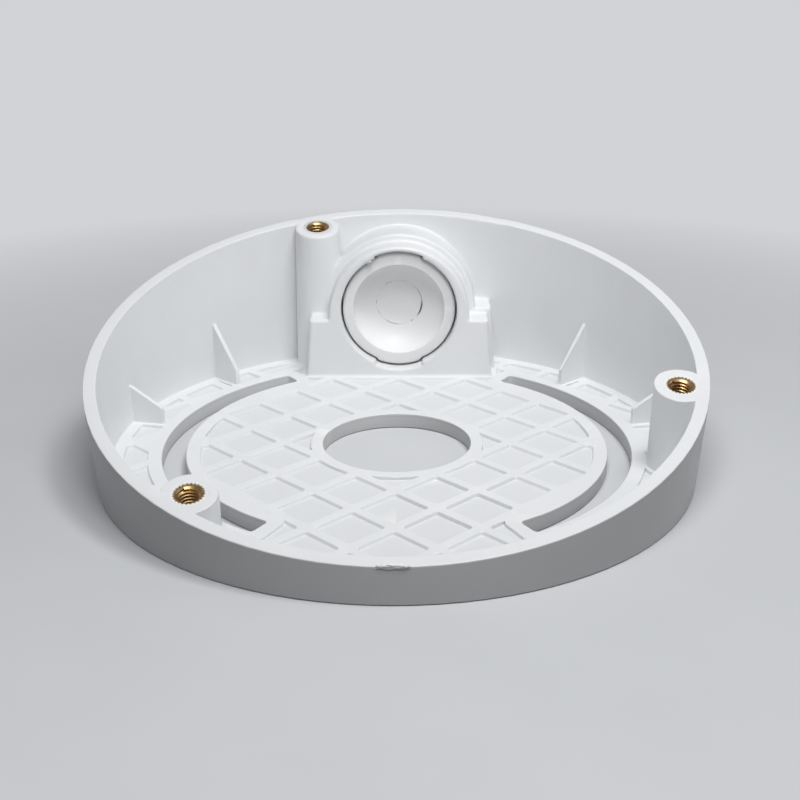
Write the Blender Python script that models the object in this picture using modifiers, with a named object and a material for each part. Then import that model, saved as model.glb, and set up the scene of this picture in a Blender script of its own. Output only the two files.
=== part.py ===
"""Camera mount base: a round tilted moulding with a waffle floor, three insert bosses and a side conduit entry.

The part stands on its flat underside, which screws to a wall or ceiling. Its rim is a seat tilted towards -Y,
where a camera is screwed to three brass inserts. The conduit entry at +Y is closed by a blanking plug.
Lengths are in metres, +Z is up, and the origin is the centre of the underside.
"""

from math import asin, atan2, ceil, cos, pi, radians, sin, sqrt, tan

import bmesh
import bpy
from mathutils import Matrix, Vector

MM = 0.001

# Round body; what stands in it is set back from the wall, so it follows the radius
BOTTOM_RADIUS = 59.4 * MM
RIM_FLARE = 1.3 * MM
RIM_HEIGHT = 22.6 * MM
RIM_OFFSET_Y = -0.5 * MM
RIM_TILT = radians(15.0)
SEAT_WIDTH = 2.5 * MM
WALL_AT_FLOOR = 2.6 * MM
FLOOR_THICKNESS = 3.2 * MM
FOOT_ROUND = 0.8 * MM
CREASE_ROUND = 1.9 * MM

# Cable hole and the two screw slots, with the flat lips round them
HOLE_RADIUS = 15.0 * MM
HOLE_LIP = 2.5 * MM
SLOT_SETBACK = 12.15 * MM
SLOT_WIDTH = 4.7 * MM
SLOT_LIP = 2.8 * MM
SLOT_START = radians(33.3)
SLOT_END = radians(148.4)
SLOT_CORNER = 0.75 * MM

# Waffle pattern sunk into the floor
PANEL_PITCH = 10.8 * MM
PANEL_RIB = 1.9 * MM
PANEL_DEPTH = 0.7 * MM
PANEL_CORNER = 0.6 * MM
PANEL_DRAFT = radians(12.0)
PANEL_LAND = 0.8 * MM
PANEL_LEAST_SHARE = 0.1
PANEL_SAMPLES = 10

# Screw bosses and their inserts, set back from the rim in the seat plane; azimuths run clockwise from +Y
BOSS_SETBACK = 5.5 * MM
BOSS_RADIUS = 5.1 * MM
BOSS_DRAFT = radians(1.0)
BOSS_AZIMUTHS = {"left": radians(-141.2), "right": radians(101.9), "back": radians(-20.0)}
INSERT_RADIUS = 2.75 * MM
INSERT_LENGTH = 5.0 * MM
INSERT_THREAD_RADIUS = 1.75 * MM
INSERT_SINK = 0.2 * MM
INSERT_CHAMFER = 0.25 * MM
INSERT_LEAD_IN = 0.6 * MM
INSERT_GROOVE_WIDTH = 0.9 * MM
INSERT_GROOVE_DEPTH = 0.35 * MM
INSERT_TEETH = 24
INSERT_TOOTH_DEPTH = 0.2 * MM
INSERT_POCKET = 0.8 * MM

# Wall gussets: azimuth, reach in from the wall, height of the inner edge and height on the wall
GUSSET_THICKNESS = 1.0 * MM
GUSSET_EDGE_HEIGHT = 3.4 * MM
REAR_GUSSET_AZIMUTH = radians(48.0)
REAR_GUSSET_REACH = 7.5 * MM
REAR_GUSSET_HEIGHT = 13.0 * MM
SIDE_GUSSET_AZIMUTH = radians(79.0)
SIDE_GUSSET_REACH = 6.8 * MM
SIDE_GUSSET_HEIGHT = 8.0 * MM

# Conduit entry: a shouldered pedestal under an arch, and a wider collar between it and the wall
ENTRY_REACH = 18.3 * MM
ENTRY_LEAN = radians(3.0)
ENTRY_FOOT_HALF_WIDTH = 21.5 * MM
ENTRY_SHOULDER_HALF_WIDTH = 20.5 * MM
ENTRY_SHOULDER_Z = 16.6 * MM
ENTRY_ARCH_RADIUS = 16.1 * MM
ENTRY_ARCH_Z = 17.4 * MM
ENTRY_EDGE_ROUND = 0.45 * MM
FLANGE_THICKNESS = 5.8 * MM
COLLAR_SIDE_STEP = 0.9 * MM
COLLAR_SHOULDER_STEP = 1.2 * MM
COLLAR_ARCH_STEP = 1.6 * MM
BORE_RADIUS = 13.35 * MM
BORE_Z = 18.6 * MM
BORE_NOTCH_HALF_ANGLE = radians(24.0)
BORE_NOTCH_DEPTH = 0.5 * MM
BORE_NOTCH_LENGTH = 6.0 * MM

# Blanking plug; its nose and bowl are set back from the bore, so they follow the bore's radius
PLUG_RECESS = 1.8 * MM
PLUG_LENGTH = 12.0 * MM
PLUG_NOSE_STEP = 0.85 * MM
PLUG_NOSE_LENGTH = 2.6 * MM
PLUG_NOSE_WALL = 1.7 * MM
PLUG_BOWL_DEPTH = 7.2 * MM
PLUG_BOWL_FLAT_RADIUS = 4.2 * MM
PLUG_CHAMFER = 0.4 * MM
PLUG_COIN_SLOT_WIDTH = 2.4 * MM
PLUG_COIN_SLOT_DEPTH = 2.2 * MM

# Shared values
FIT_GAP = 0.3 * MM
OVERCUT = 2.0 * MM
BODY_SEGMENTS = 96
BOSS_SEGMENTS = 32
HOLE_SEGMENTS = 48
BORE_SEGMENTS = 48
INSERT_SEGMENTS = 36
ARC_STEP = radians(3.2)

RIM_RADIUS = BOTTOM_RADIUS + RIM_FLARE
FLOOR_RADIUS = BOTTOM_RADIUS - WALL_AT_FLOOR
SLOT_MIDDLE_RADIUS = FLOOR_RADIUS - SLOT_SETBACK
BOSS_CIRCLE_RADIUS = RIM_RADIUS - BOSS_SETBACK
ENTRY_FACE_Y = FLOOR_RADIUS - ENTRY_REACH
PANEL_FIELD_RADIUS = FLOOR_RADIUS - CREASE_ROUND - 0.5 * PANEL_LAND
PLUG_THREAD_RADIUS = BORE_RADIUS - FIT_GAP
PLUG_NOSE_RADIUS = PLUG_THREAD_RADIUS - PLUG_NOSE_STEP
PLUG_BOWL_RADIUS = PLUG_NOSE_RADIUS - PLUG_NOSE_WALL
RIM_FRAME = Matrix.Translation((0.0, RIM_OFFSET_Y, RIM_HEIGHT)) @ Matrix.Rotation(RIM_TILT, 4, "X")


def clear_scene():
    for item in list(bpy.data.objects):
        bpy.data.objects.remove(item, do_unlink=True)


def new_collection(name):
    collection = bpy.data.collections.new(name)
    bpy.context.scene.collection.children.link(collection)
    return collection


def add_object(name, bm, collection):
    bmesh.ops.recalc_face_normals(bm, faces=bm.faces[:])
    mesh = bpy.data.meshes.new(name)
    bm.to_mesh(mesh)
    bm.free()
    item = bpy.data.objects.new(name, mesh)
    collection.objects.link(item)
    return item


def add_cutter(name, bm):
    cutter = add_object(name, bm, CUTTERS)
    cutter.hide_render = True
    cutter.display_type = "WIRE"
    return cutter


def combine(item, operation, *others):
    for other in others:
        modifier = item.modifiers.new(other.name, "BOOLEAN")
        modifier.operation = operation
        modifier.solver = "EXACT"
        modifier.object = other
    return item


def plastic(name, colour, roughness):
    material = bpy.data.materials.new(name)
    material.use_nodes = True
    shader = material.node_tree.nodes["Principled BSDF"]
    shader.inputs["Base Color"].default_value = (*colour, 1.0)
    shader.inputs["Roughness"].default_value = roughness
    return material


def brass(name):
    material = plastic(name, (0.76, 0.52, 0.24), 0.3)
    material.node_tree.nodes["Principled BSDF"].inputs["Metallic"].default_value = 1.0
    return material


def circle(radius, frame, count=BODY_SEGMENTS):
    """Points of a circle in the XY plane of a frame, counterclockwise from the frame's +X."""
    angles = [2 * pi * i / count for i in range(count)]
    return [frame @ Vector((radius * cos(a), radius * sin(a), 0.0)) for a in angles]


def polar(radius, azimuth):
    """A point in the XY plane at an azimuth that runs clockwise from +Y."""
    return Vector((radius * sin(azimuth), radius * cos(azimuth), 0.0))


def loft(lower, upper):
    """A closed solid between two rings of as many points."""
    bm = bmesh.new()
    low = [bm.verts.new(point) for point in lower]
    high = [bm.verts.new(point) for point in upper]
    for i in range(len(low)):
        j = (i + 1) % len(low)
        bm.faces.new((low[i], low[j], high[j], high[i]))
    bm.faces.new(low)
    bm.faces.new(high)
    return bm


def add_prism(bm, outline, depth):
    """Adds a solid swept from a flat outline along a vector."""
    base = bm.faces.new([bm.verts.new(point) for point in outline])
    swept = bmesh.ops.extrude_face_region(bm, geom=[base], use_keep_orig=True)["geom"]
    moved = [part for part in swept if isinstance(part, bmesh.types.BMVert)]
    bmesh.ops.translate(bm, verts=moved, vec=depth)


def add_cylinder(bm, radius, low_z, high_z, centre=(0.0, 0.0), segments=HOLE_SEGMENTS, low_radius=None, frame=None):
    """Adds a cylinder or cone along the Z axis of a frame, from low_z to high_z."""
    place = Matrix.Translation((centre[0], centre[1], 0.5 * (low_z + high_z)))
    bmesh.ops.create_cone(
        bm,
        cap_ends=True,
        segments=segments,
        radius1=radius if low_radius is None else low_radius,
        radius2=radius,
        depth=high_z - low_z,
        matrix=frame @ place if frame else place,
    )


def round_edges(bm, edges, size, segments):
    bmesh.ops.bevel(bm, geom=edges, offset=size, segments=segments, profile=0.5, affect="EDGES", clamp_overlap=True)


def flat_ring_edges(bm, z):
    """Edges that lie in the horizontal plane at height z."""
    return [edge for edge in bm.edges if all(abs(vertex.co.z - z) < 0.01 * MM for vertex in edge.verts)]


def body_form():
    """The outside of the moulding as a full solid, from the underside to the tilted seat plane."""
    bm = loft(circle(BOTTOM_RADIUS, Matrix.Identity(4)), circle(RIM_RADIUS, RIM_FRAME))
    round_edges(bm, flat_ring_edges(bm, 0.0), FOOT_ROUND, 2)
    return bm


def cavity_form():
    """The inside of the moulding, carried on past the seat plane, with the crease at its foot rounded."""
    foot = circle(FLOOR_RADIUS, Matrix.Translation((0.0, 0.0, FLOOR_THICKNESS)))
    seat = circle(RIM_RADIUS - SEAT_WIDTH, RIM_FRAME)
    reach = 1.15
    bm = loft(foot, [low.lerp(high, reach) for low, high in zip(foot, seat)])
    round_edges(bm, flat_ring_edges(bm, FLOOR_THICKNESS), CREASE_ROUND, 3)
    return bm


def boss_centre(azimuth):
    return RIM_FRAME @ polar(BOSS_CIRCLE_RADIUS, azimuth)


def boss_forms(grow=0.0):
    """The three bosses, upright and drafted, carried past the underside and the seat plane."""
    bm = bmesh.new()
    for azimuth in BOSS_AZIMUTHS.values():
        centre = boss_centre(azimuth)
        top = centre.z + BOSS_RADIUS
        low_radius = BOSS_RADIUS + grow + (centre.z + OVERCUT) * tan(BOSS_DRAFT)
        high_radius = BOSS_RADIUS + grow - (top - centre.z) * tan(BOSS_DRAFT)
        add_cylinder(bm, high_radius, -OVERCUT, top, centre, BOSS_SEGMENTS, low_radius)
    return bm


def gusset_forms(grow=0.0):
    """Radial plates that brace the wall, two on each side."""
    pairs = (
        (REAR_GUSSET_AZIMUTH, REAR_GUSSET_REACH, REAR_GUSSET_HEIGHT),
        (SIDE_GUSSET_AZIMUTH, SIDE_GUSSET_REACH, SIDE_GUSSET_HEIGHT),
    )
    half = 0.5 * GUSSET_THICKNESS + grow
    bm = bmesh.new()
    for azimuth, inward, height in pairs:
        inner = FLOOR_RADIUS - inward - grow
        outer = BOTTOM_RADIUS - 0.5 * WALL_AT_FLOOR
        section = (
            (inner, FLOOR_THICKNESS - PANEL_DEPTH),
            (inner, FLOOR_THICKNESS + GUSSET_EDGE_HEIGHT),
            (FLOOR_RADIUS, FLOOR_THICKNESS + height),
            (outer, FLOOR_THICKNESS + height),
            (outer, FLOOR_THICKNESS - PANEL_DEPTH),
        )
        for side in (1, -1):
            turn = Matrix.Rotation(-side * azimuth, 4, "Z")
            outline = [turn @ Vector((-half, radius, z)) for radius, z in section]
            add_prism(bm, outline, turn @ Vector((2 * half, 0.0, 0.0)))
    return bm


def arch_outline(side_step=0.0, shoulder_step=0.0, arch_step=0.0):
    """Half-round arch standing on shoulders, as (x, z) points from the right foot round to the left one."""
    radius = ENTRY_ARCH_RADIUS + arch_step
    shoulder_z = ENTRY_SHOULDER_Z + shoulder_step
    start = asin((shoulder_z - ENTRY_ARCH_Z) / radius)
    count = ceil((pi - 2 * start) / (2 * ARC_STEP))
    angles = [start + (pi - 2 * start) * i / count for i in range(count + 1)]
    arch = [(radius * cos(a), ENTRY_ARCH_Z + radius * sin(a)) for a in angles]
    foot = ENTRY_FOOT_HALF_WIDTH + side_step
    shoulder = ENTRY_SHOULDER_HALF_WIDTH + side_step
    base_z = FLOOR_THICKNESS - PANEL_DEPTH
    return [(foot, base_z), (shoulder, shoulder_z), *arch, (-shoulder, shoulder_z), (-foot, base_z)]


def entry_form(front_y, back_y, *steps):
    """One step of the conduit entry, its face leaning back and the edges of that face rounded."""
    bm = bmesh.new()
    outline = [Vector((x, front_y, z)) for x, z in arch_outline(*steps)]
    add_prism(bm, outline, Vector((0.0, back_y - front_y, 0.0)))
    front = [edge for edge in bm.edges if all(abs(vertex.co.y - front_y) < 0.01 * MM for vertex in edge.verts)]
    base_z = FLOOR_THICKNESS - PANEL_DEPTH
    raised = [edge for edge in front if max(vertex.co.z for vertex in edge.verts) > base_z + 0.01 * MM]
    round_edges(bm, raised, ENTRY_EDGE_ROUND, 2)
    for vertex in bm.verts:
        vertex.co.y += (vertex.co.z - FLOOR_THICKNESS) * tan(ENTRY_LEAN)
    return bm


def arc_band(middle_radius, width, start, end, low_z, high_z, corner):
    """Curved slots or lips, one on each side of the Y axis, with rounded corners."""
    count = ceil((end - start) / ARC_STEP)
    azimuths = [start + (end - start) * i / count for i in range(count + 1)]
    sides = (1, -1)
    bm = bmesh.new()
    for side in sides:
        inner = [polar(middle_radius - 0.5 * width, side * azimuth) for azimuth in azimuths]
        outer = [polar(middle_radius + 0.5 * width, side * azimuth) for azimuth in azimuths]
        outline = [point + Vector((0.0, 0.0, low_z)) for point in inner + outer[::-1]]
        add_prism(bm, outline, Vector((0.0, 0.0, high_z - low_z)))
    ends = [polar(radius, side * azimuth) for side in sides for azimuth in (start, end)
            for radius in (middle_radius - 0.5 * width, middle_radius + 0.5 * width)]
    corners = [edge for edge in bm.edges if abs(edge.verts[0].co.z - edge.verts[1].co.z) > 0.5 * (high_z - low_z)
               and any((edge.verts[0].co.xy - point.xy).length < 0.01 * MM for point in ends)]
    round_edges(bm, corners, corner, 2)
    return bm


def panel_share(centre, half, turn):
    """The share of a panel that lies on the floor, between the rings of lips and the crease."""
    slot_lip_half = 0.5 * SLOT_WIDTH + SLOT_LIP
    samples = [half * (2 * i + 1 - PANEL_SAMPLES) / PANEL_SAMPLES for i in range(PANEL_SAMPLES)]
    kept = 0
    for u in samples:
        for v in samples:
            point = centre + turn @ Vector((u, v, 0.0))
            azimuth = abs(atan2(point.x, point.y))
            at_slot = SLOT_START < azimuth < SLOT_END
            on_slot_lip = at_slot and abs(point.length - SLOT_MIDDLE_RADIUS) < slot_lip_half
            on_floor = HOLE_RADIUS + HOLE_LIP < point.length < PANEL_FIELD_RADIUS
            kept += on_floor and not on_slot_lip
    return kept / PANEL_SAMPLES**2


def panel_forms():
    """Square recesses on a grid turned by 45 degrees, drafted and with rounded corners."""
    steps = ceil(PANEL_FIELD_RADIUS / PANEL_PITCH)
    turn = Matrix.Rotation(radians(45.0), 4, "Z")
    floor_half = 0.5 * (PANEL_PITCH - PANEL_RIB) - PANEL_DEPTH * tan(PANEL_DRAFT)
    top_half = floor_half + (PANEL_DEPTH + OVERCUT) * tan(PANEL_DRAFT)
    bm = bmesh.new()
    for row in range(-steps, steps + 1):
        for column in range(-steps, steps + 1):
            centre = turn @ Vector((column * PANEL_PITCH, row * PANEL_PITCH, 0.0))
            if panel_share(centre, top_half, turn) > PANEL_LEAST_SHARE:
                low_z = FLOOR_THICKNESS - PANEL_DEPTH
                high_z = FLOOR_THICKNESS + OVERCUT
                add_cylinder(bm, sqrt(2) * top_half, low_z, high_z, centre, 4, sqrt(2) * floor_half)
    upright = [edge for edge in bm.edges if abs(edge.verts[0].co.z - edge.verts[1].co.z) > PANEL_DEPTH]
    round_edges(bm, upright, PANEL_CORNER, 2)
    return bm


def notch_forms(front_y, back_y):
    """Sectors a little larger than the bore, at its top and bottom, that relieve the thread's start."""
    radius = BORE_RADIUS + BORE_NOTCH_DEPTH
    count = ceil(2 * BORE_NOTCH_HALF_ANGLE / (2 * pi / BORE_SEGMENTS))
    angles = [BORE_NOTCH_HALF_ANGLE * (2 * i / count - 1) for i in range(count + 1)]
    bm = bmesh.new()
    for side in (1, -1):
        arc = [Vector((radius * sin(a), front_y, BORE_Z + side * radius * cos(a))) for a in angles]
        tip = Vector((0.0, front_y, BORE_Z + side * 0.5 * BORE_RADIUS))
        add_prism(bm, [tip, *arc], Vector((0.0, back_y - front_y, 0.0)))
    return bm


def bore_face_y():
    """Where the leaning face of the entry crosses the bore's axis."""
    return ENTRY_FACE_Y + (BORE_Z - FLOOR_THICKNESS) * tan(ENTRY_LEAN)


def make_base_shell():
    through = -OVERCUT
    above_floor = FLOOR_THICKNESS + OVERCUT
    bosses = add_cutter("boss_forms", boss_forms())
    gussets = add_cutter("gusset_forms", gusset_forms())
    past_wall = BOTTOM_RADIUS + OVERCUT
    collar_y = ENTRY_FACE_Y + FLANGE_THICKNESS
    flange = add_cutter("flange_form", entry_form(ENTRY_FACE_Y, past_wall))
    collar_steps = (COLLAR_SIDE_STEP, COLLAR_SHOULDER_STEP, COLLAR_ARCH_STEP)
    collar = add_cutter("collar_form", entry_form(collar_y, past_wall, *collar_steps))
    cavity = add_cutter("cavity", cavity_form())
    combine(cavity, "DIFFERENCE", bosses, gussets, flange, collar)

    slot_bm = arc_band(SLOT_MIDDLE_RADIUS, SLOT_WIDTH, SLOT_START, SLOT_END, through, above_floor, SLOT_CORNER)
    slots = combine(add_cutter("slots", slot_bm), "DIFFERENCE", bosses)

    hole_bm = bmesh.new()
    add_cylinder(hole_bm, HOLE_RADIUS, through, above_floor)
    hole = add_cutter("cable_hole", hole_bm)

    bore_bm = bmesh.new()
    along_y = Matrix.Translation((0.0, 0.0, BORE_Z)) @ Matrix.Rotation(-pi / 2, 4, "X")
    add_cylinder(bore_bm, BORE_RADIUS, ENTRY_FACE_Y - OVERCUT, past_wall, segments=BORE_SEGMENTS, frame=along_y)
    bore = add_cutter("bore", bore_bm)
    notches = add_cutter("bore_notches", notch_forms(ENTRY_FACE_Y - OVERCUT, bore_face_y() + BORE_NOTCH_LENGTH))

    pocket_bm = bmesh.new()
    for azimuth in BOSS_AZIMUTHS.values():
        centre = polar(BOSS_CIRCLE_RADIUS, azimuth)
        depth = INSERT_SINK + INSERT_LENGTH + INSERT_POCKET
        add_cylinder(pocket_bm, INSERT_RADIUS + FIT_GAP, -depth, OVERCUT, centre, BOSS_SEGMENTS, frame=RIM_FRAME)
    pockets = add_cutter("insert_pockets", pocket_bm)

    shell = add_object("base_shell", body_form(), PARTS)
    return combine(shell, "DIFFERENCE", cavity, slots, hole, make_panels(), bore, notches, pockets)


def make_panels():
    """The waffle recesses, kept clear of the lips, the crease and everything that stands on the floor."""
    low_z = FLOOR_THICKNESS - OVERCUT
    high_z = FLOOR_THICKNESS + 2 * OVERCUT
    field_bm = bmesh.new()
    add_cylinder(field_bm, PANEL_FIELD_RADIUS, low_z, high_z, segments=BODY_SEGMENTS)
    field = add_cutter("panel_field", field_bm)

    hole_lip_bm = bmesh.new()
    add_cylinder(hole_lip_bm, HOLE_RADIUS + HOLE_LIP, low_z, high_z)
    hole_lip = add_cutter("hole_lip", hole_lip_bm)

    lip_turn = SLOT_LIP / SLOT_MIDDLE_RADIUS
    lip_width = SLOT_WIDTH + 2 * SLOT_LIP
    lip_start = SLOT_START - lip_turn
    lip_end = SLOT_END + lip_turn
    lip_corner = SLOT_CORNER + 0.5 * SLOT_LIP
    lip_bm = arc_band(SLOT_MIDDLE_RADIUS, lip_width, lip_start, lip_end, low_z, high_z, lip_corner)
    slot_lips = add_cutter("slot_lips", lip_bm)

    foot_y = ENTRY_FACE_Y - PANEL_LAND
    foot_bm = entry_form(foot_y, BOTTOM_RADIUS, COLLAR_SIDE_STEP + PANEL_LAND)
    for vertex in foot_bm.verts:
        vertex.co.z -= OVERCUT
    entry_land = add_cutter("entry_land", foot_bm)
    boss_land = add_cutter("boss_land", boss_forms(PANEL_LAND))
    gusset_bm = gusset_forms(PANEL_LAND)
    for vertex in gusset_bm.verts:
        vertex.co.z -= 0.5 * OVERCUT
    gusset_land = add_cutter("gusset_land", gusset_bm)

    panels = combine(add_cutter("panels", panel_forms()), "INTERSECT", field)
    return combine(panels, "DIFFERENCE", hole_lip, slot_lips, entry_land, boss_land, gusset_land)


def turned(name, profile, segments, collection):
    """A profile of (radius, height) points turned about Z."""
    mesh = bpy.data.meshes.new(name)
    points = [(radius, 0.0, height) for radius, height in profile]
    closed = profile[0][0] > 0.0
    edges = [(i, i + 1) for i in range(len(points) - 1)]
    if closed:
        edges.append((len(points) - 1, 0))
    mesh.from_pydata(points, edges, [])
    item = bpy.data.objects.new(name, mesh)
    collection.objects.link(item)
    screw = item.modifiers.new("turn", "SCREW")
    screw.steps = segments
    screw.render_steps = segments
    screw.use_merge_vertices = True
    screw.merge_threshold = 0.00001
    screw.use_smooth_shade = False
    return item


def tooth_form():
    """A toothed prism that cuts the knurl into an insert's two bands."""
    tip = INSERT_RADIUS + INSERT_TOOTH_DEPTH
    root = INSERT_RADIUS - INSERT_TOOTH_DEPTH
    count = 2 * INSERT_TEETH
    offset = 0.5 * pi / count
    points = []
    for i in range(count):
        angle = 2 * pi * i / count + offset
        radius = tip if i % 2 else root
        points.append(Vector((radius * cos(angle), radius * sin(angle), -INSERT_LENGTH - OVERCUT)))
    bm = bmesh.new()
    add_prism(bm, points, Vector((0.0, 0.0, INSERT_LENGTH + 2 * OVERCUT)))
    return bm


def insert_place(side):
    """The middle of an insert's top, a little below the top of its boss."""
    return RIM_FRAME @ (polar(BOSS_CIRCLE_RADIUS, BOSS_AZIMUTHS[side]) - Vector((0.0, 0.0, INSERT_SINK)))


def make_insert(side, material, teeth):
    """A knurled brass insert with a wide lead-in, square to the seat."""
    outer = INSERT_RADIUS
    groove = INSERT_RADIUS - INSERT_GROOVE_DEPTH
    middle = -0.5 * INSERT_LENGTH
    half_groove = 0.5 * INSERT_GROOVE_WIDTH
    profile = (
        (outer - INSERT_CHAMFER, 0.0),
        (outer, -INSERT_CHAMFER),
        (outer, middle + half_groove),
        (groove, middle + half_groove - INSERT_CHAMFER),
        (groove, middle - half_groove + INSERT_CHAMFER),
        (outer, middle - half_groove),
        (outer, INSERT_CHAMFER - INSERT_LENGTH),
        (outer - INSERT_CHAMFER, -INSERT_LENGTH),
        (INSERT_THREAD_RADIUS, -INSERT_LENGTH),
        (INSERT_THREAD_RADIUS, -INSERT_LEAD_IN),
        (INSERT_THREAD_RADIUS + INSERT_LEAD_IN, 0.0),
    )
    insert = turned(f"insert_{side}", profile, INSERT_SEGMENTS, PARTS)
    combine(insert, "INTERSECT", teeth)
    insert.location = insert_place(side)
    insert.rotation_euler = (RIM_TILT, 0.0, 0.0)
    insert.data.materials.append(material)
    return insert


def make_plug(material):
    """A blanking plug: a plain nose round a bowl at the inner end, and a coin slot at the outer end."""
    bowl_floor = PLUG_LENGTH - PLUG_BOWL_DEPTH
    bowl_edge = PLUG_LENGTH - PLUG_CHAMFER
    bowl_steps = 8
    bowl = []
    for i in range(bowl_steps + 1):
        angle = 0.5 * pi * i / bowl_steps
        radius = PLUG_BOWL_FLAT_RADIUS + (PLUG_BOWL_RADIUS - PLUG_BOWL_FLAT_RADIUS) * sin(angle)
        bowl.append((radius, bowl_edge - (bowl_edge - bowl_floor) * cos(angle)))
    shoulder = PLUG_LENGTH - PLUG_NOSE_LENGTH
    profile = (
        (0.0, bowl_floor),
        *bowl,
        (PLUG_BOWL_RADIUS + 0.5 * PLUG_CHAMFER, PLUG_LENGTH),
        (PLUG_NOSE_RADIUS - PLUG_CHAMFER, PLUG_LENGTH),
        (PLUG_NOSE_RADIUS, bowl_edge),
        (PLUG_NOSE_RADIUS, shoulder),
        (PLUG_THREAD_RADIUS, shoulder - PLUG_NOSE_STEP),
        (PLUG_THREAD_RADIUS, PLUG_CHAMFER),
        (PLUG_THREAD_RADIUS - PLUG_CHAMFER, 0.0),
        (0.0, 0.0),
    )
    plug = turned("conduit_plug", profile, BORE_SEGMENTS, PARTS)
    slot_bm = bmesh.new()
    size = (2 * PLUG_NOSE_RADIUS - 4 * PLUG_CHAMFER, PLUG_COIN_SLOT_WIDTH, 2 * PLUG_COIN_SLOT_DEPTH)
    bmesh.ops.create_cube(slot_bm, size=1.0)
    bmesh.ops.scale(slot_bm, vec=size, verts=slot_bm.verts[:])
    coin_slot = add_cutter("coin_slot", slot_bm)
    combine(plug, "DIFFERENCE", coin_slot)
    plug_place = (0.0, bore_face_y() + PLUG_RECESS + PLUG_LENGTH, BORE_Z)
    for item in (plug, coin_slot):
        item.location = plug_place
        item.rotation_euler = (pi / 2, 0.0, 0.0)
    plug.data.materials.append(material)
    return plug


clear_scene()
PARTS = new_collection("camera_mount_base")
CUTTERS = new_collection("cutters")

base_shell = make_base_shell()
base_shell.data.materials.append(plastic("moulded_shell", (0.80, 0.80, 0.79), 0.42))
insert_brass = brass("insert_brass")
for insert_side in BOSS_AZIMUTHS:
    insert_teeth = add_cutter(f"teeth_{insert_side}", tooth_form())
    insert_teeth.location = insert_place(insert_side)
    insert_teeth.rotation_euler = (RIM_TILT, 0.0, 0.0)
    make_insert(insert_side, insert_brass, insert_teeth)
make_plug(plastic("moulded_plug", (0.76, 0.76, 0.75), 0.45))
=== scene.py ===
from math import atan2, cos, hypot, pi, radians, sin

import bmesh
import bpy
from mathutils import Matrix, Vector
from mathutils.kdtree import KDTree
from mathutils.noise import noise as noise_at


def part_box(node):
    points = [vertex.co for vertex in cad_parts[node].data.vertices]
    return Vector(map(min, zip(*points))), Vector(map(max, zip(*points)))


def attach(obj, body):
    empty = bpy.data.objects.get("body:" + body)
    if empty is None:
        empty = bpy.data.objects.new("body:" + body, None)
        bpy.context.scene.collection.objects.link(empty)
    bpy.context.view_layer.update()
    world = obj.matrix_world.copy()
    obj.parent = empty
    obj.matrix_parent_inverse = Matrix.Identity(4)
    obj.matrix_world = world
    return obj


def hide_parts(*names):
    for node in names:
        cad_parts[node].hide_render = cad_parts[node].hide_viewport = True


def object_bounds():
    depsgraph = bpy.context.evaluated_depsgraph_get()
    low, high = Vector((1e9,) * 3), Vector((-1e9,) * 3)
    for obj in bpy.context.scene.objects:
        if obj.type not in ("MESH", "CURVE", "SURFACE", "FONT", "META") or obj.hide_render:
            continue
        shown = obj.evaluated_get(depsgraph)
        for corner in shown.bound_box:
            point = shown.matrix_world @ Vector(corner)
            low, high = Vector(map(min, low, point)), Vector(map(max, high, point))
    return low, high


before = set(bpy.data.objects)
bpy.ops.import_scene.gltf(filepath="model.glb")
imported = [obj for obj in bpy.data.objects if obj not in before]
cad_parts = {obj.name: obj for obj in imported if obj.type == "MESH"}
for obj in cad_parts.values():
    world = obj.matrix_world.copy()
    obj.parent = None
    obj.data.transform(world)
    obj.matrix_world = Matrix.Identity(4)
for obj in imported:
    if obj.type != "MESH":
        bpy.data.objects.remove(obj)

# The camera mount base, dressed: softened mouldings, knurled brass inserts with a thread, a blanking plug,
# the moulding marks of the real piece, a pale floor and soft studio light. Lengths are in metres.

MM = 0.001
SLIGHT = 0.01 * MM
SAME_POINT = 0.001 * MM
cad_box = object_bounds()

# The seat's tilt, and places that follow from the frame
SEAT_TILT = radians(15.0)
SEAT_AXIS = Vector((0.0, -sin(SEAT_TILT), cos(SEAT_TILT)))
PLUG_LOW, PLUG_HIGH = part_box("conduit_plug")
BORE_AXIS_Z = 0.5 * (PLUG_LOW.z + PLUG_HIGH.z)
PLUG_RADIUS = 0.5 * (PLUG_HIGH.x - PLUG_LOW.x)
PLUG_LENGTH = PLUG_HIGH.y - PLUG_LOW.y

# Softened edges of the mouldings
WELD = 0.08 * MM
FLAT_ANGLE = radians(1.0)
EDGE_ANGLE = radians(38.0)
SLIVER = 0.3 * WELD
SHELL_EDGE = 0.2 * MM
SHELL_EDGE_STEPS = 2
FOLD_ANGLE = radians(165.0)
FOLD_REACH = 0.9 * MM
FOLD_REACH_GROWTH = 0.6
FOLD_EASE = 0.6
EASED_ROUNDS = 4
FOLD_ROUNDS = 10
SHARP_ANGLE = radians(50.0)
STEP_ANGLE = radians(12.0)

# Finish of the plastic: scales of its noises, heights of its relief, and how far shading rounds its edges
CLOUD_SCALE = 70.0
SCUFF_SCALE = 420.0
PEEL_SCALE = 900.0
PEEL_HEIGHT = 0.02 * MM
GRAIN_SCALE = 6500.0
GRAIN_HEIGHT = 0.004 * MM
EDGE_SOFTNESS = 0.16 * MM
ENTRY_SOFTNESS = 1.1 * MM

# Where the shell's finish changes, and where shade is painted on the sunk panel floors: the start and end
# of each blend
ENTRY_FRONT = (37.0 * MM, 38.5 * MM)
ENTRY_BACK = (53.0 * MM, 56.0 * MM)
ENTRY_SIDE = (23.5 * MM, 25.0 * MM)
PANEL_LOW = (2.35 * MM, 2.45 * MM)
PANEL_HIGH = (2.6 * MM, 2.95 * MM)
PANEL_REACH = (55.0 * MM, 56.0 * MM)

# Finish of the brass
TINT_SCALE = 900.0
DULL_SCALE = 2400.0
TURNING_SCALE = (600.0, 600.0, 14000.0)
TURNING_HEIGHT = 0.004 * MM

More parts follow.
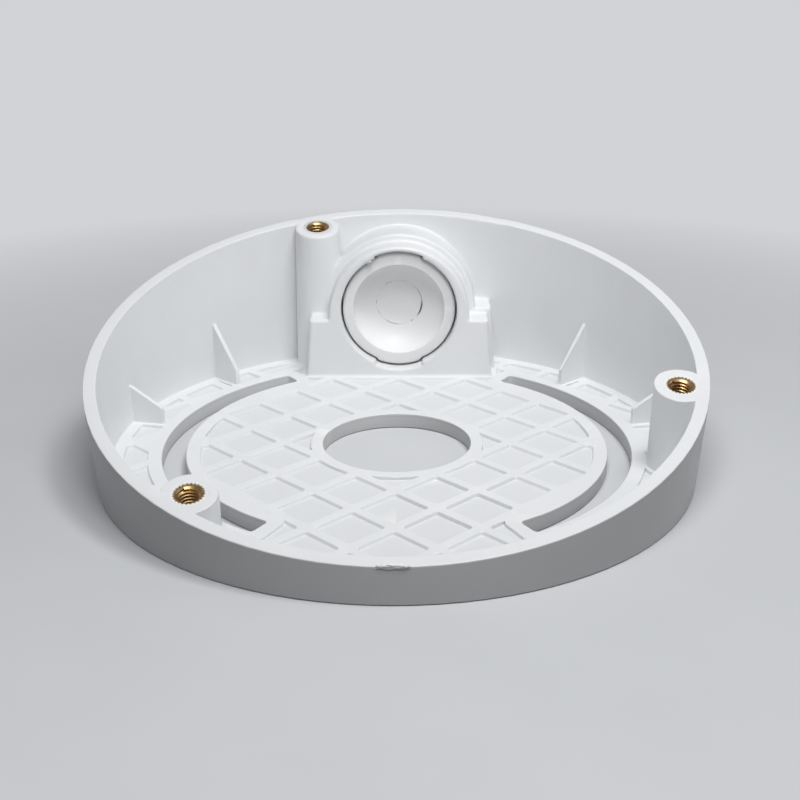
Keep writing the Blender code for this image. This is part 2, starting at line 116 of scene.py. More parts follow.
# Insert
INSERT_RADIUS = 2.74 * MM
INSERT_LENGTH = 5.0 * MM
KNURL_TEETH = 24
KNURL_DEPTH = 0.14 * MM
INSERT_GROOVE_WIDTH = 0.9 * MM
INSERT_GROOVE_DEPTH = 0.35 * MM
INSERT_EDGE = 0.2 * MM
LEAD_IN = 0.22 * MM
THREAD_MAJOR = 2.05 * MM
THREAD_MINOR = 1.68 * MM
THREAD_PITCH = 0.7 * MM
THREAD_STEPS = 60
THREAD_SINK = 0.03 * MM
THREAD_TOP = 0.2 * THREAD_PITCH
INSERT_SHARP = radians(32.0)
POCKET_RADIUS = 3.24 * MM
FLOW_TOP = 0.19 * MM
FLOW_DEPTH = 0.7 * MM
FLOW_OVERLAP = 0.03 * MM
FLOW_DROP = 0.04 * MM
FLOW_EASE = 0.06 * MM
FLOW_SHARP = radians(40.0)
FLOW_MIDDLE = 0.5 * (INSERT_RADIUS + POCKET_RADIUS)

# Thread ridges, as shares of their pitch
RIDGE_FLAT = 0.06
RIDGE_WIDTH = 0.94

# Blanking plug: radii from its axis, depths from the face of its nose
PLUG_STEPS = 120
NOSE_GAP = 0.1 * MM
NOSE_ROUND = 0.8 * MM
NOSE_ROUND_STEPS = 6
NOSE_LENGTH = 3.0 * MM
NOSE_TAB_ANGLE = radians(23.0)
NOSE_TAB_REACH = 0.45 * MM
PLUG_CORE = 0.5 * MM
PLUG_THREAD_PITCH = 1.5 * MM
OUTER_CHAMFER = 0.5 * MM
BOWL_RADIUS = 10.45 * MM
BOWL_LIP = 0.15 * MM
BOWL_WALL = 0.3 * MM
BOWL_DEPTH = 6.2 * MM
BOWL_FLAT_RADIUS = 2.0 * MM
BOWL_STEPS = 16
WITNESS_RADIUS = 5.3 * MM
WITNESS_WIDTH = 0.09 * MM
WITNESS_HEIGHT = 0.02 * MM
WITNESS_THIN = (0.05 * MM, 0.12 * MM)
WITNESS_WIDE = (0.12 * MM, 0.26 * MM)
WITNESS_DARK = (0.13, 0.12, 0.11)
BREAK_SCALE = 330.0
NICK_PLACE = (4.9 * MM, -1.4 * MM)
NICK_REACH = 2.3 * MM
FAINT_ARC_PLACE = (-2.0 * MM, -4.9 * MM)
FAINT_ARC_REACH = 1.7 * MM
COIN_SLOT = Vector((22.8, 2.4, 2.2)) * MM
PLUG_SHARP = radians(35.0)

# Moulding marks in millimetres: centre, half size and unevenness of each lump
LUMP_STEPS = 4
LUMP_NOISE = 2.3
LUMP_SHIFT = Vector((7.0, 0.0, 3.0))
GATE_LUMPS = (
    ((0.3, -59.0, 6.7), (2.8, 0.24, 0.5), 0.3),
    ((-1.6, -58.95, 6.85), (0.9, 0.26, 0.36), 0.4),
    ((2.0, -58.95, 6.75), (0.9, 0.28, 0.4), 0.5),
    ((2.5, -58.8, 7.0), (0.4, 0.3, 0.25), 0.4),
    ((0.5, -58.75, 7.05), (2.0, 0.4, 0.2), 0.45),
)
FLASH_LUMPS = (
    ((-6.4, 39.7, 30.15), (0.5, 0.3, 0.2), 0.3),
    ((-6.95, 39.65, 29.9), (0.28, 0.28, 0.24), 0.3),
    ((-6.2, -58.35, 6.95), (0.5, 0.2, 0.16), 0.4),
)
PIN_LUMPS = (
    ((-39.4, -0.5, 3.2), (0.45, 0.45, 0.22), 0.1),
    ((39.9, -0.9, 3.2), (0.45, 0.45, 0.22), 0.1),
)

# Camera and light
CAMERA_PLACE = (0.00368, -0.22886, 0.10067)
CAMERA_TURN = (radians(68.856), radians(0.246), radians(0.653))
CAMERA_LENS = 55.05
BACKGROUND = (0.64, 0.65, 0.67)
HORIZON_REACH = (0.08, 0.24)
TABLE_REACH = 3.0
TABLE_GAP = 0.05 * MM
AIR_COLOUR = (0.93, 0.96, 1.0)
AIR_STRENGTH = 0.22


def group(name):
    item = bpy.data.collections.new(name)
    bpy.context.scene.collection.children.link(item)
    return item


STUDIO = group("studio")
MOUNT = group("mount_base")


def add_mesh(name, bm, material, collection=None, smooth=True):
    mesh = bpy.data.meshes.new(name)
    bm.to_mesh(mesh)
    bm.free()
    if smooth:
        mesh.shade_smooth()
    mesh.materials.append(material)
    item = bpy.data.objects.new(name, mesh)
    (collection or MOUNT).objects.link(item)
    return item


# Materials


def new_material(name):
    material = bpy.data.materials.new(name)
    material.use_nodes = True
    nodes = material.node_tree.nodes
    return material, nodes, material.node_tree.links, nodes["Principled BSDF"]


def noise(nodes, links, coordinates, scale, detail=4.0, roughness=0.55):
    node = nodes.new("ShaderNodeTexNoise")
    node.inputs["Scale"].default_value = scale
    node.inputs["Detail"].default_value = detail
    node.inputs["Roughness"].default_value = roughness
    links.new(coordinates, node.inputs["Vector"])
    return node.outputs["Fac"]


def remap(nodes, links, source, low, high, from_low=0.0, from_high=1.0):
    node = nodes.new("ShaderNodeMapRange")
    node.inputs["From Min"].default_value = from_low
    node.inputs["From Max"].default_value = from_high
    node.inputs["To Min"].default_value = low
    node.inputs["To Max"].default_value = high
    links.new(source, node.inputs["Value"])
    return node.outputs["Result"]


def blend_colours(nodes, links, factor, first, second):
    node = nodes.new("ShaderNodeMix")
    node.data_type = "RGBA"
    links.new(factor, node.inputs["Factor"])
    for socket, value in ((node.inputs[6], first), (node.inputs[7], second)):
        if hasattr(value, "is_output"):
            links.new(value, socket)
        else:
            socket.default_value = (*value, 1.0)
    return node.outputs[2]


def bump(nodes, links, height, distance, strength, under=None):
    node = nodes.new("ShaderNodeBump")
    node.inputs["Strength"].default_value = strength
    node.inputs["Distance"].default_value = distance
    links.new(height, node.inputs["Height"])
    if under:
        links.new(under, node.inputs["Normal"])
    return node.outputs["Normal"]


def calculate(nodes, links, operation, first, second=0.0):
    node = nodes.new("ShaderNodeMath")
    node.operation = operation
    for socket, value in zip(node.inputs, (first, second)):
        if hasattr(value, "is_output"):
            links.new(value, socket)
        else:
            socket.default_value = value
    return node.outputs["Value"]


def product(nodes, links, first, second):
    return calculate(nodes, links, "MULTIPLY", first, second)


def nearness(nodes, links, place, centre, reach):
    """One at a place and nothing beyond a reach from it."""
    node = nodes.new("ShaderNodeVectorMath")
    node.operation = "DISTANCE"
    node.inputs[1].default_value = centre
    links.new(place, node.inputs[0])
    return remap(nodes, links, node.outputs["Value"], 1.0, 0.0, 0.5 * reach, reach)


def softened_normal(nodes, links, split, soft_radius):
    """Shading that rounds every edge a little, and the edges of the conduit entry more."""
    depth = split.outputs["Y"]
    across = calculate(nodes, links, "ABSOLUTE", split.outputs["X"])
    entry = product(nodes, links, remap(nodes, links, depth, 0.0, 1.0, *ENTRY_FRONT),
                    remap(nodes, links, depth, 1.0, 0.0, *ENTRY_BACK))
    entry = product(nodes, links, entry, remap(nodes, links, across, 1.0, 0.0, *ENTRY_SIDE))
    soft = nodes.new("ShaderNodeBevel")
    soft.samples = 6
    links.new(remap(nodes, links, entry, EDGE_SOFTNESS, soft_radius), soft.inputs["Radius"])
    return soft.outputs["Normal"]


def distance_out(nodes, links, place):
    node = nodes.new("ShaderNodeVectorMath")
    node.operation = "LENGTH"
    links.new(place, node.inputs[0])
    return node.outputs["Value"]


def painted_panel_shade(nodes, links, place, split):
    """One on the sunk floors of the waffle panels, where shade is painted so that they look a little greyer
    than their ribs.
    """
    height = split.outputs["Z"]
    floor = product(nodes, links, remap(nodes, links, height, 0.0, 1.0, *PANEL_LOW),
                    remap(nodes, links, height, 1.0, 0.0, *PANEL_HIGH))
    inside = remap(nodes, links, distance_out(nodes, links, place), 1.0, 0.0, *PANEL_REACH)
    return product(nodes, links, floor, inside)


def painted_edge_highlight(nodes, links, soft):
    """Where a highlight is painted: one where the rounded shading leans away from the surface, and on its
    outward folds.
    """
    surface = nodes.new("ShaderNodeNewGeometry").outputs
    lean = nodes.new("ShaderNodeVectorMath")
    lean.operation = "DOT_PRODUCT"
    links.new(soft, lean.inputs[0])
    links.new(surface["Normal"], lean.inputs[1])
    leaning = remap(nodes, links, lean.outputs["Value"], 0.75, 0.0, 0.85, 0.99)
    folded = remap(nodes, links, surface["Pointiness"], 0.0, 1.0, 0.53, 0.62)
    return calculate(nodes, links, "MAXIMUM", leaning, folded)


def moulded_plastic(name, colour, shade, edge_highlight_colour, roughness, soft_radius=EDGE_SOFTNESS):
    """White ABS: fine satin grain, faint clouding, a painted highlight on the edges, painted shade on the
    sunk panel floors and a slight orange peel.
    """
    material, nodes, links, shader = new_material(name)
    place = nodes.new("ShaderNodeTexCoord").outputs["Object"]
    split = nodes.new("ShaderNodeSeparateXYZ")
    links.new(place, split.inputs["Vector"])
    clouds = remap(nodes, links, noise(nodes, links, place, CLOUD_SCALE, 3.0), 0.0, 0.35, 0.35, 0.65)
    body = blend_colours(nodes, links, clouds, colour, shade)
    # Painted shade: the sunk panel floors are blended towards the shade colour.
    body = blend_colours(nodes, links, painted_panel_shade(nodes, links, place, split), body, shade)
    soft = softened_normal(nodes, links, split, soft_radius)
    # Painted highlight: the edges are blended towards a paler colour where the shading rounds them and on
    # outward folds.
    highlighted = blend_colours(nodes, links, painted_edge_highlight(nodes, links, soft), body, edge_highlight_colour)
    links.new(highlighted, shader.inputs["Base Color"])
    scuffs = noise(nodes, links, place, SCUFF_SCALE, 2.0)
    satin = remap(nodes, links, scuffs, roughness - 0.05, roughness + 0.07, 0.3, 0.7)
    links.new(satin, shader.inputs["Roughness"])
    peel = bump(nodes, links, noise(nodes, links, place, PEEL_SCALE, 2.0), PEEL_HEIGHT, 0.5, soft)
    grain = bump(nodes, links, noise(nodes, links, place, GRAIN_SCALE, 2.0), GRAIN_HEIGHT, 0.6, peel)
    links.new(grain, shader.inputs["Normal"])
    shader.inputs["IOR"].default_value = 1.5
    shader.inputs["Specular IOR Level"].default_value = 0.5
    return material


def turned_brass(name):
    """Machined brass: fine turning lines, a golden to brown variation and a duller skin in patches."""
    material, nodes, links, shader = new_material(name)
    place = nodes.new("ShaderNodeTexCoord").outputs["Object"]
    tint = remap(nodes, links, noise(nodes, links, place, TINT_SCALE, 3.0), 0.0, 1.0, 0.3, 0.7)
    brass = blend_colours(nodes, links, tint, (0.66, 0.45, 0.22), (0.5, 0.32, 0.14))
    links.new(brass, shader.inputs["Base Color"])
    shader.inputs["Metallic"].default_value = 1.0
    dull = noise(nodes, links, place, DULL_SCALE, 2.0)
    links.new(remap(nodes, links, dull, 0.28, 0.42, 0.3, 0.7), shader.inputs["Roughness"])
    stretch = nodes.new("ShaderNodeMapping")
    stretch.inputs["Scale"].default_value = TURNING_SCALE
    links.new(place, stretch.inputs["Vector"])
    turning = noise(nodes, links, stretch.outputs["Vector"], 1.0, 2.0)
    links.new(bump(nodes, links, turning, TURNING_HEIGHT, 0.3), shader.inputs["Normal"])
    return material


def add_witness_line(material):
    """A broken dark line where the core pin left its ring in the plug's bowl, and a few faint marks."""
    nodes = material.node_tree.nodes
    links = material.node_tree.links
    shader = nodes["Principled BSDF"]
    place = nodes.new("ShaderNodeTexCoord").outputs["Object"]
    split = nodes.new("ShaderNodeSeparateXYZ")
    links.new(place, split.inputs["Vector"])
    rise = calculate(nodes, links, "SUBTRACT", split.outputs["Z"], BORE_AXIS_Z)
    squares = [product(nodes, links, side, side) for side in (split.outputs["X"], rise)]
    radius = calculate(nodes, links, "SQRT", calculate(nodes, links, "ADD", *squares))
    off = calculate(nodes, links, "ABSOLUTE", calculate(nodes, links, "SUBTRACT", radius, WITNESS_RADIUS))
    thin = remap(nodes, links, off, 1.0, 0.0, *WITNESS_THIN)
    wide = remap(nodes, links, off, 1.0, 0.0, *WITNESS_WIDE)
    bowl_y = PLUG_LOW.y + BOWL_DEPTH
    nick, faint_arc = [nearness(nodes, links, place, (x, bowl_y, BORE_AXIS_Z + z), reach)
                    for (x, z), reach in ((NICK_PLACE, NICK_REACH), (FAINT_ARC_PLACE, FAINT_ARC_REACH))]
    breaks = remap(nodes, links, noise(nodes, links, place, BREAK_SCALE, 3.0), 0.0, 0.6, 0.49, 0.58)
    line = product(nodes, links, thin, calculate(nodes, links, "ADD", breaks, 0.04))
    faint = product(nodes, links, thin, product(nodes, links, faint_arc, 0.6))
    dark = calculate(nodes, links, "MAXIMUM", line, product(nodes, links, wide, nick))
    dark = calculate(nodes, links, "MAXIMUM", dark, faint)
    in_bowl = calculate(nodes, links, "LESS_THAN", split.outputs["Y"], bowl_y + MM)
    clean = shader.inputs["Base Color"].links[0].from_socket
    # A dark colour is laid along the witness ring: broken by noise, wider at the nick, and unbroken but
    # fainter on one arc.
    darkened = blend_colours(nodes, links, product(nodes, links, dark, in_bowl), clean, WITNESS_DARK)
    links.new(darkened, shader.inputs["Base Color"])


# The paler edge colour of each plastic is a painted highlight along its edges.
SHELL_PLASTIC = moulded_plastic("shell_plastic", (0.79, 0.8, 0.81), shade=(0.73, 0.74, 0.755),
                                edge_highlight_colour=(0.86, 0.86, 0.86), roughness=0.36, soft_radius=ENTRY_SOFTNESS)
PLUG_PLASTIC = moulded_plastic("plug_plastic", (0.82, 0.82, 0.82), shade=(0.79, 0.79, 0.79),
                               edge_highlight_colour=(0.87, 0.87, 0.87), roughness=0.46)
TORN_PLASTIC = moulded_plastic("torn_plastic", (0.86, 0.86, 0.85), shade=(0.7, 0.7, 0.7),
                               edge_highlight_colour=(0.92, 0.92, 0.92), roughness=0.6)
INSERT_BRASS = turned_brass("insert_brass")
add_witness_line(PLUG_PLASTIC)


# The shell: a merged copy of its solid with the sharp edges softened


def copy_merged(node):
    """The solid's loose triangles as one closed mesh with its flat faces whole."""
    bm = bmesh.new()
    bm.from_mesh(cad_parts[node].data)
    bmesh.ops.remove_doubles(bm, verts=bm.verts[:], dist=WELD)
    bmesh.ops.dissolve_degenerate(bm, dist=SLIVER, edges=bm.edges[:])
    bmesh.ops.dissolve_limit(bm, angle_limit=FLAT_ANGLE, use_dissolve_boundaries=False,
                             verts=bm.verts[:], edges=bm.edges[:], delimit=set())
    bmesh.ops.triangulate(bm, faces=[face for face in bm.faces if len(face.verts) > 4])
    bm.normal_update()
    return bm


def fold_places(item):
    """Where a rounded mesh turns over itself."""
    view = bpy.context.evaluated_depsgraph_get()
    mesh = bpy.data.meshes.new_from_object(item.evaluated_get(view), depsgraph=view)
    bm = bmesh.new()
    bm.from_mesh(mesh)
    bpy.data.meshes.remove(mesh)
    bmesh.ops.triangulate(bm, faces=[face for face in bm.faces if len(face.verts) > 4])
    folds = [edge for edge in bm.edges if edge.is_manifold and edge.calc_face_angle(0.0) > FOLD_ANGLE]
    places = [0.5 * (edge.verts[0].co + edge.verts[1].co) for edge in folds]
    bm.free()
    return places


def part_shading(mesh):
    """Parts the smooth shading at edges left sharp, and at the small steps that run into their ends."""
    bm = bmesh.new()
    bm.from_mesh(mesh)
    sharp = [edge for edge in bm.edges if edge.calc_face_angle(0.0) > SHARP_ANGLE]
    ends = {vertex for edge in sharp for vertex in edge.verts}
    for edge in bm.edges:
        limit = SHARP_ANGLE if ends.isdisjoint(edge.verts) else STEP_ANGLE
        edge.smooth = edge.calc_face_angle(0.0) < limit
    bm.to_mesh(mesh)
    bm.free()


def soften(node, material, width, steps):
    """Rounds the sharp edges of a moulding, and eases the round where there is no room for it."""
    bm = copy_merged(node)
    weight = bm.edges.layers.float.new("bevel_weight_edge")
    for edge in bm.edges:
        edge[weight] = float(edge.is_manifold and edge.calc_face_angle(0.0) > EDGE_ANGLE)
    item = add_mesh("moulded_" + node, bm, material)
    rounding = item.modifiers.new("edge_round", "BEVEL")
    rounding.limit_method = "WEIGHT"
    rounding.width = width
    rounding.segments = steps
    rounding.profile = 0.5
    rounding.use_clamp_overlap = False
    corners = KDTree(len(item.data.vertices))
    for vertex in item.data.vertices:
        corners.insert(vertex.co, vertex.index)
    corners.balance()
    weights = item.data.attributes["bevel_weight_edge"].data
    for attempt in range(FOLD_ROUNDS):
        late = max(0, attempt - EASED_ROUNDS)
        reach = FOLD_REACH * (1.0 + FOLD_REACH_GROWTH * late)
        tight = {found[1] for place in fold_places(item) for found in corners.find_range(place, reach)}
        if not tight:
            break
        ease = FOLD_EASE if attempt < EASED_ROUNDS else 0.0
        for edge in item.data.edges:
            if not tight.isdisjoint(edge.vertices):
                weights[edge.index].value *= ease
        item.data.update_tag()
    view = bpy.context.evaluated_depsgraph_get()
    rounded = bpy.data.meshes.new_from_object(item.evaluated_get(view), depsgraph=view)
    item.modifiers.clear()
    item.data = rounded
    part_shading(rounded)
    normals = item.modifiers.new("even_shading", "WEIGHTED_NORMAL")
    normals.keep_sharp = True
    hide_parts(node)
    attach(item, "root")
    return item


shell = soften("base_shell", SHELL_PLASTIC, SHELL_EDGE, SHELL_EDGE_STEPS)


# Turned pieces: the brass inserts and the blanking plug


def spun(section, steps, closed):
    """A section of (radius, height) points spun about Z."""
    bm = bmesh.new()
    ring = [bm.verts.new((radius, 0.0, height)) for radius, height in section]
    pairs = zip(ring, ring[1:] + ring[:1]) if closed else zip(ring, ring[1:])
    edges = [bm.edges.new(pair) for pair in pairs]
    bmesh.ops.spin(bm, geom=ring + edges, cent=(0.0, 0.0, 0.0), axis=(0.0, 0.0, 1.0), angle=2 * pi,
                   steps=steps, use_merge=True)
    bmesh.ops.remove_doubles(bm, verts=bm.verts[:], dist=SAME_POINT)
    return bm


def insert_frame(node):
    """The frame of an insert: its top's middle, with Z along the screw's axis."""
    low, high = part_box(node)
    middle = 0.5 * (low + high)
    return Matrix.Translation(middle + 0.5 * INSERT_LENGTH * SEAT_AXIS) @ Matrix.Rotation(SEAT_TILT, 4, "X")


def knurl(vertex):
    """Moves a point in or out with the knurl's waves."""
    radius = hypot(vertex.co.x, vertex.co.y)
    wave = KNURL_DEPTH * cos(KNURL_TEETH * atan2(vertex.co.y, vertex.co.x))
    vertex.co.xy *= (radius + wave) / radius


def knurled_sleeve():
    """The sleeve of an insert, spun from its section, with a straight knurl on its two bands."""
    steps = 4 * KNURL_TEETH
    middle = -0.5 * INSERT_LENGTH
    half = 0.5 * INSERT_GROOVE_WIDTH
    groove = INSERT_RADIUS - INSERT_GROOVE_DEPTH
    section = (
        (THREAD_MAJOR + LEAD_IN, 0.0),
        (INSERT_RADIUS - INSERT_EDGE, 0.0),
        (INSERT_RADIUS, -INSERT_EDGE),
        (INSERT_RADIUS, middle + half),
        (groove, middle + half - INSERT_EDGE),
        (groove, middle - half + INSERT_EDGE),
        (INSERT_RADIUS, middle - half),
        (INSERT_RADIUS, INSERT_EDGE - INSERT_LENGTH),
        (INSERT_RADIUS - INSERT_EDGE, -INSERT_LENGTH),
        (THREAD_MAJOR, -INSERT_LENGTH),
        (THREAD_MAJOR, -LEAD_IN),
    )
    bm = spun(section, steps, True)
    for vertex in bm.verts:
        if hypot(vertex.co.x, vertex.co.y) > INSERT_RADIUS - 1.5 * INSERT_EDGE:
            knurl(vertex)
    bmesh.ops.recalc_face_normals(bm, faces=bm.faces[:])
    return bm


def plastic_flow():
    """The ring of plastic that was pressed against the knurl at the mouth of the pocket."""
    inner = INSERT_RADIUS - FLOW_OVERLAP
    section = (
        (inner, FLOW_TOP - FLOW_DROP),
        (inner + FLOW_EASE, FLOW_TOP),
        (POCKET_RADIUS, FLOW_TOP),
        (POCKET_RADIUS, FLOW_TOP - FLOW_DEPTH),
        (inner, FLOW_TOP - FLOW_DEPTH),
    )
    bm = spun(section, 4 * KNURL_TEETH, True)
    for vertex in bm.verts:
        if hypot(vertex.co.x, vertex.co.y) < FLOW_MIDDLE:
            knurl(vertex)
    bmesh.ops.recalc_face_normals(bm, faces=bm.faces[:])
    return bm


def add_thread(bm, wall, crest, pitch, low_z, high_z):
    """A thread as a helical ridge from a round wall to its crest, its foot sunk in the wall."""
    turns = (high_z - low_z) / pitch - 1.0
    steps = round(turns * THREAD_STEPS)
    foot = wall + THREAD_SINK * (1.0 if crest < wall else -1.0)
    flat = RIDGE_FLAT * pitch
    section = (
        (foot, low_z),
        (crest, low_z + 0.5 * pitch - flat),
        (crest, low_z + 0.5 * pitch + flat),
        (foot, low_z + RIDGE_WIDTH * pitch),
    )
    ring = [bm.verts.new((radius, 0.0, height)) for radius, height in section]
    face = bm.faces.new(ring)
    step = (0.0, 0.0, turns * pitch / steps)
    bmesh.ops.spin(bm, geom=[face, *face.edges, *ring], cent=(0.0, 0.0, 0.0), axis=(0.0, 0.0, 1.0),
                   dvec=step, angle=2 * pi * turns, steps=steps, use_merge=False)


def make_insert(side):
    node = "insert_" + side
    bm = knurled_sleeve()
    add_thread(bm, THREAD_MAJOR, THREAD_MINOR, THREAD_PITCH, -INSERT_LENGTH, THREAD_TOP)
    bmesh.ops.recalc_face_normals(bm, faces=bm.faces[:])
    bmesh.ops.transform(bm, matrix=insert_frame(node), verts=bm.verts[:])
    item = add_mesh("brass_" + node, bm, INSERT_BRASS)
    item.data.set_sharp_from_angle(angle=INSERT_SHARP)
    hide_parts(node)
    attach(item, "root")
    flow = plastic_flow()
    bmesh.ops.transform(flow, matrix=insert_frame(node), verts=flow.verts[:])
    ring = add_mesh("plastic_round_" + node, flow, SHELL_PLASTIC)
    ring.data.set_sharp_from_angle(angle=FLOW_SHARP)
    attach(ring, "root")


for insert_side in ("left", "right", "back"):
    make_insert(insert_side)


def bowl_section():
    """The plug's bowl from its centre to the face of the nose, with the witness ring standing in it."""
    curved = BOWL_RADIUS - BOWL_FLAT_RADIUS

    def depth(radius):
        across = max(0.0, radius - BOWL_FLAT_RADIUS) / curved
        return BOWL_WALL + (BOWL_DEPTH - BOWL_WALL) * max(0.0, 1.0 - across**2) ** 0.5

    radii = [BOWL_FLAT_RADIUS + curved * sin(0.5 * pi * i / BOWL_STEPS) for i in range(BOWL_STEPS + 1)]
    dish = [(0.0, -BOWL_DEPTH)]
    dish += [(radius, -depth(radius)) for radius in radii
             if abs(radius - WITNESS_RADIUS) > 2 * WITNESS_WIDTH]
    ring = [(WITNESS_RADIUS + side * WITNESS_WIDTH, -depth(WITNESS_RADIUS) + rise)
            for side, rise in ((-1, 0.0), (-0.5, WITNESS_HEIGHT), (0.5, WITNESS_HEIGHT), (1, 0.0))]
    lip = [(BOWL_RADIUS, -BOWL_LIP), (BOWL_RADIUS + BOWL_LIP, 0.0)]
    return sorted(dish + ring) + lip


def nose_section(nose):
    """The rounded outer corner of the plug's nose."""
    corner = nose - NOSE_ROUND
    angles = [0.5 * pi * i / NOSE_ROUND_STEPS for i in range(NOSE_ROUND_STEPS + 1)]
    return [(corner + NOSE_ROUND * sin(a), NOSE_ROUND * (cos(a) - 1.0)) for a in angles]


def press_coin_slot(bm, height):
    """Sinks the coin slot into the flat outer end."""
    half = 0.5 * COIN_SLOT
    long_way = Vector((1.0, 0.0, 0.0))
    short_way = Vector((0.0, 1.0, 0.0))

    def end_faces():
        return [face for face in bm.faces if abs(face.calc_center_median().z - height) < SLIGHT]

    for side, way in ((half.x, long_way), (-half.x, long_way), (half.y, short_way), (-half.y, short_way)):
        parts = {item for face in end_faces() for item in (face, *face.edges, *face.verts)}
        bmesh.ops.bisect_plane(bm, geom=list(parts), plane_co=side * way, plane_no=way)
    middle = min(end_faces(), key=lambda face: face.calc_center_median().xy.length)
    sunk = bmesh.ops.extrude_discrete_faces(bm, faces=[middle])["faces"]
    corners = [vertex for face in sunk for vertex in face.verts]
    bmesh.ops.translate(bm, verts=corners, vec=(0.0, 0.0, COIN_SLOT.z))


def push_out_tabs(bm, nose):
    """Moves the nose's edge out where its tabs fill the notches of the bore."""
    for vertex in bm.verts:
        radius = hypot(vertex.co.x, vertex.co.y)
        on_nose = vertex.co.z > -NOSE_LENGTH - SLIGHT and radius > nose - NOSE_ROUND - SLIGHT
        lean = abs(atan2(vertex.co.x, abs(vertex.co.y)))
        if on_nose and lean < NOSE_TAB_ANGLE:
            vertex.co.xy *= (radius + NOSE_TAB_REACH) / radius


def make_plug():
    """The blanking plug, turned about Z with its nose up, then laid into the bore."""
    nose = PLUG_RADIUS - NOSE_GAP
    core = PLUG_RADIUS - PLUG_CORE
    outer_end = -PLUG_LENGTH
    section = [
        *bowl_section(),
        *nose_section(nose),
        (nose, -NOSE_LENGTH),
        (core, -NOSE_LENGTH - PLUG_CORE),
        (core, outer_end + OUTER_CHAMFER),
        (core - OUTER_CHAMFER, outer_end),
    ]
    bm = spun(section, PLUG_STEPS, False)
    rim = [edge for edge in bm.edges if edge.is_boundary]
    bmesh.ops.contextual_create(bm, geom=rim)
    bmesh.ops.recalc_face_normals(bm, faces=bm.faces[:])
    push_out_tabs(bm, nose)
    press_coin_slot(bm, outer_end)
    thread_low = outer_end + OUTER_CHAMFER
    add_thread(bm, core, PLUG_RADIUS, PLUG_THREAD_PITCH, thread_low, -NOSE_LENGTH - PLUG_CORE)
    bmesh.ops.recalc_face_normals(bm, faces=bm.faces[:])
    lay = Matrix.Translation((0.0, PLUG_LOW.y, BORE_AXIS_Z)) @ Matrix.Rotation(0.5 * pi, 4, "X")
    bmesh.ops.transform(bm, matrix=lay, verts=bm.verts[:])
    item = add_mesh("moulded_conduit_plug", bm, PLUG_PLASTIC)
    item.data.set_sharp_from_angle(angle=PLUG_SHARP)
    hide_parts("conduit_plug")
    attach(item, "root")


make_plug()


# Marks of the moulding: the trimmed gate, flash on the bore's edge and the rim, and two pin dots


def add_lump(bm, centre, size, seed, roughness):
    """A small uneven lump, half sunk in the surface it sits on."""
    made = bmesh.ops.create_icosphere(bm, subdivisions=LUMP_STEPS, radius=1.0)["verts"]
    for vertex in made:
        swell = noise_at(LUMP_NOISE * vertex.co + seed * LUMP_SHIFT)
        vertex.co *= 1.0 + roughness * swell
    place = Matrix.Translation(Vector(centre) * MM) @ Matrix.Diagonal((*(Vector(size) * MM), 1.0))
    bmesh.ops.transform(bm, matrix=place, verts=made)


def add_marks(name, lumps, material):
    bm = bmesh.new()
    for seed, (centre, size, roughness) in enumerate(lumps):
        add_lump(bm, centre, size, seed + 1, roughness)
    bmesh.ops.recalc_face_normals(bm, faces=bm.faces[:])
    item = add_mesh(name, bm, material)
    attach(item, "root")


add_marks("gate_scar", GATE_LUMPS, TORN_PLASTIC)
add_marks("flash_nibs", FLASH_LUMPS, SHELL_PLASTIC)
add_marks("pin_dots", PIN_LUMPS, SHELL_PLASTIC)


# Floor, camera and light


def make_floor():
    """A pale table, dark to bounced light so that the outer wall keeps its shade."""
    material, nodes, links, shader = new_material("pale_table")
    shader.inputs["Roughness"].default_value = 0.85
    place = nodes.new("ShaderNodeTexCoord").outputs["Object"]
    grey = remap(nodes, links, noise(nodes, links, place, 30.0, 3.0), 0.0, 1.0, 0.3, 0.7)
    seen = blend_colours(nodes, links, grey, (0.62, 0.63, 0.65), (0.6, 0.61, 0.63))
    rays = nodes.new("ShaderNodeLightPath").outputs
    shown = calculate(nodes, links, "MAXIMUM", rays["Is Camera Ray"], rays["Is Glossy Ray"])
    shown = calculate(nodes, links, "MAXIMUM", shown, rays["Is Transmission Ray"])
    links.new(blend_colours(nodes, links, shown, (0.05, 0.05, 0.05), seen), shader.inputs["Base Color"])
    away = remap(nodes, links, distance_out(nodes, links, place), 0.0, 1.0, *HORIZON_REACH)
    far = calculate(nodes, links, "MULTIPLY", away, shown)
    glow = nodes.new("ShaderNodeEmission")
    glow.inputs["Color"].default_value = (*BACKGROUND, 1.0)
    blend = nodes.new("ShaderNodeMixShader")
    links.new(far, blend.inputs["Fac"])
    links.new(shader.outputs["BSDF"], blend.inputs[1])
    links.new(glow.outputs["Emission"], blend.inputs[2])
    links.new(blend.outputs["Shader"], nodes["Material Output"].inputs["Surface"])
    bm = bmesh.new()
    bmesh.ops.create_grid(bm, x_segments=1, y_segments=1, size=TABLE_REACH)
    bmesh.ops.translate(bm, verts=bm.verts[:], vec=(0.0, 0.0, cad_box[0][2] - TABLE_GAP))
    add_mesh("table", bm, material, STUDIO, smooth=False)


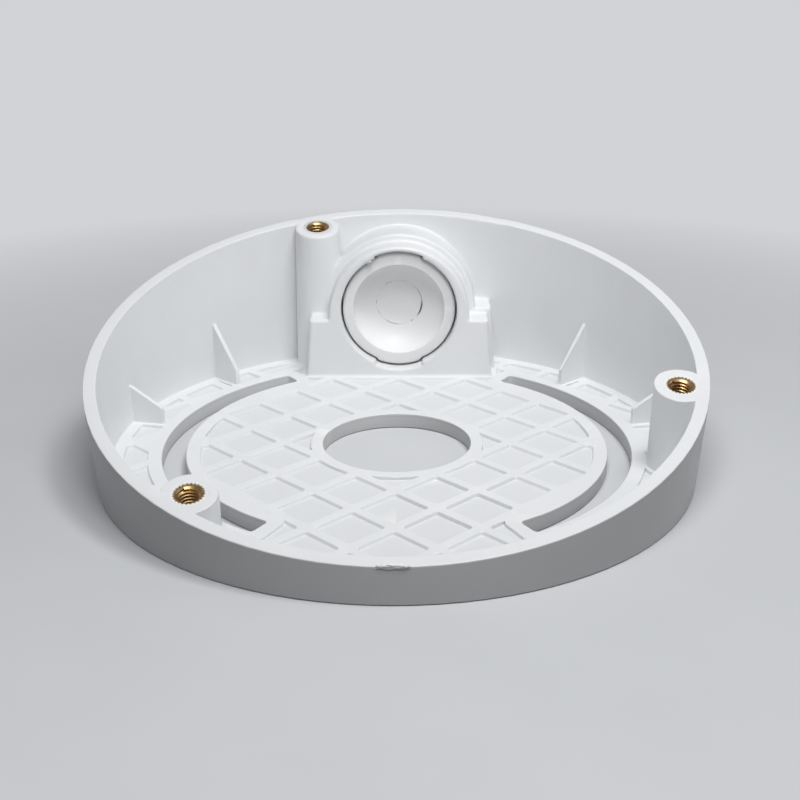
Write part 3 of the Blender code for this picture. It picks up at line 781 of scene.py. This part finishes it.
def add_softbox(name, place, size, power, target=(0.0, 0.0, 0.015), spread=pi):
    lamp = bpy.data.lights.new(name, "AREA")
    lamp.size = size
    lamp.energy = power
    lamp.spread = spread
    item = bpy.data.objects.new(name, lamp)
    item.location = place
    item.rotation_euler = (Vector(target) - Vector(place)).to_track_quat("-Z", "Y").to_euler()
    item.visible_camera = False
    STUDIO.objects.link(item)


def make_camera():
    lens = bpy.data.cameras.new("camera")
    lens.lens = CAMERA_LENS
    lens.sensor_width = 36.0
    lens.clip_start = 0.005
    item = bpy.data.objects.new("camera", lens)
    item.location = CAMERA_PLACE
    item.rotation_euler = CAMERA_TURN
    STUDIO.objects.link(item)
    bpy.context.scene.camera = item


def make_world():
    world = bpy.data.worlds.new("studio_air")
    world.use_nodes = True
    nodes = world.node_tree.nodes
    links = world.node_tree.links
    air = nodes["Background"]
    air.inputs["Color"].default_value = (*AIR_COLOUR, 1.0)
    air.inputs["Strength"].default_value = AIR_STRENGTH
    backdrop = nodes.new("ShaderNodeBackground")
    backdrop.inputs["Color"].default_value = (*BACKGROUND, 1.0)
    blend = nodes.new("ShaderNodeMixShader")
    links.new(nodes.new("ShaderNodeLightPath").outputs["Is Camera Ray"], blend.inputs["Fac"])
    links.new(air.outputs["Background"], blend.inputs[1])
    links.new(backdrop.outputs["Background"], blend.inputs[2])
    links.new(blend.outputs["Shader"], nodes["World Output"].inputs["Surface"])
    bpy.context.scene.world = world


make_floor()
make_world()
add_softbox("key_softbox", (0.1, -0.06, 0.35), size=0.09, power=0.44)
add_softbox("front_softbox", (0.0, -0.13, 0.3), size=0.12, power=0.4)
add_softbox("side_softbox", (0.45, -0.04, 0.2), size=0.3, power=0.2)
add_softbox("rear_softbox", (-0.33, 0.27, 0.15), size=0.3, power=0.11)
add_softbox("entry_softbox", (0.02, -0.06, 0.13), size=0.05, power=0.0115, target=(0.0, 0.055, 0.02),
            spread=radians(90.0))
make_camera()
bpy.context.scene.view_settings.view_transform = "Standard"
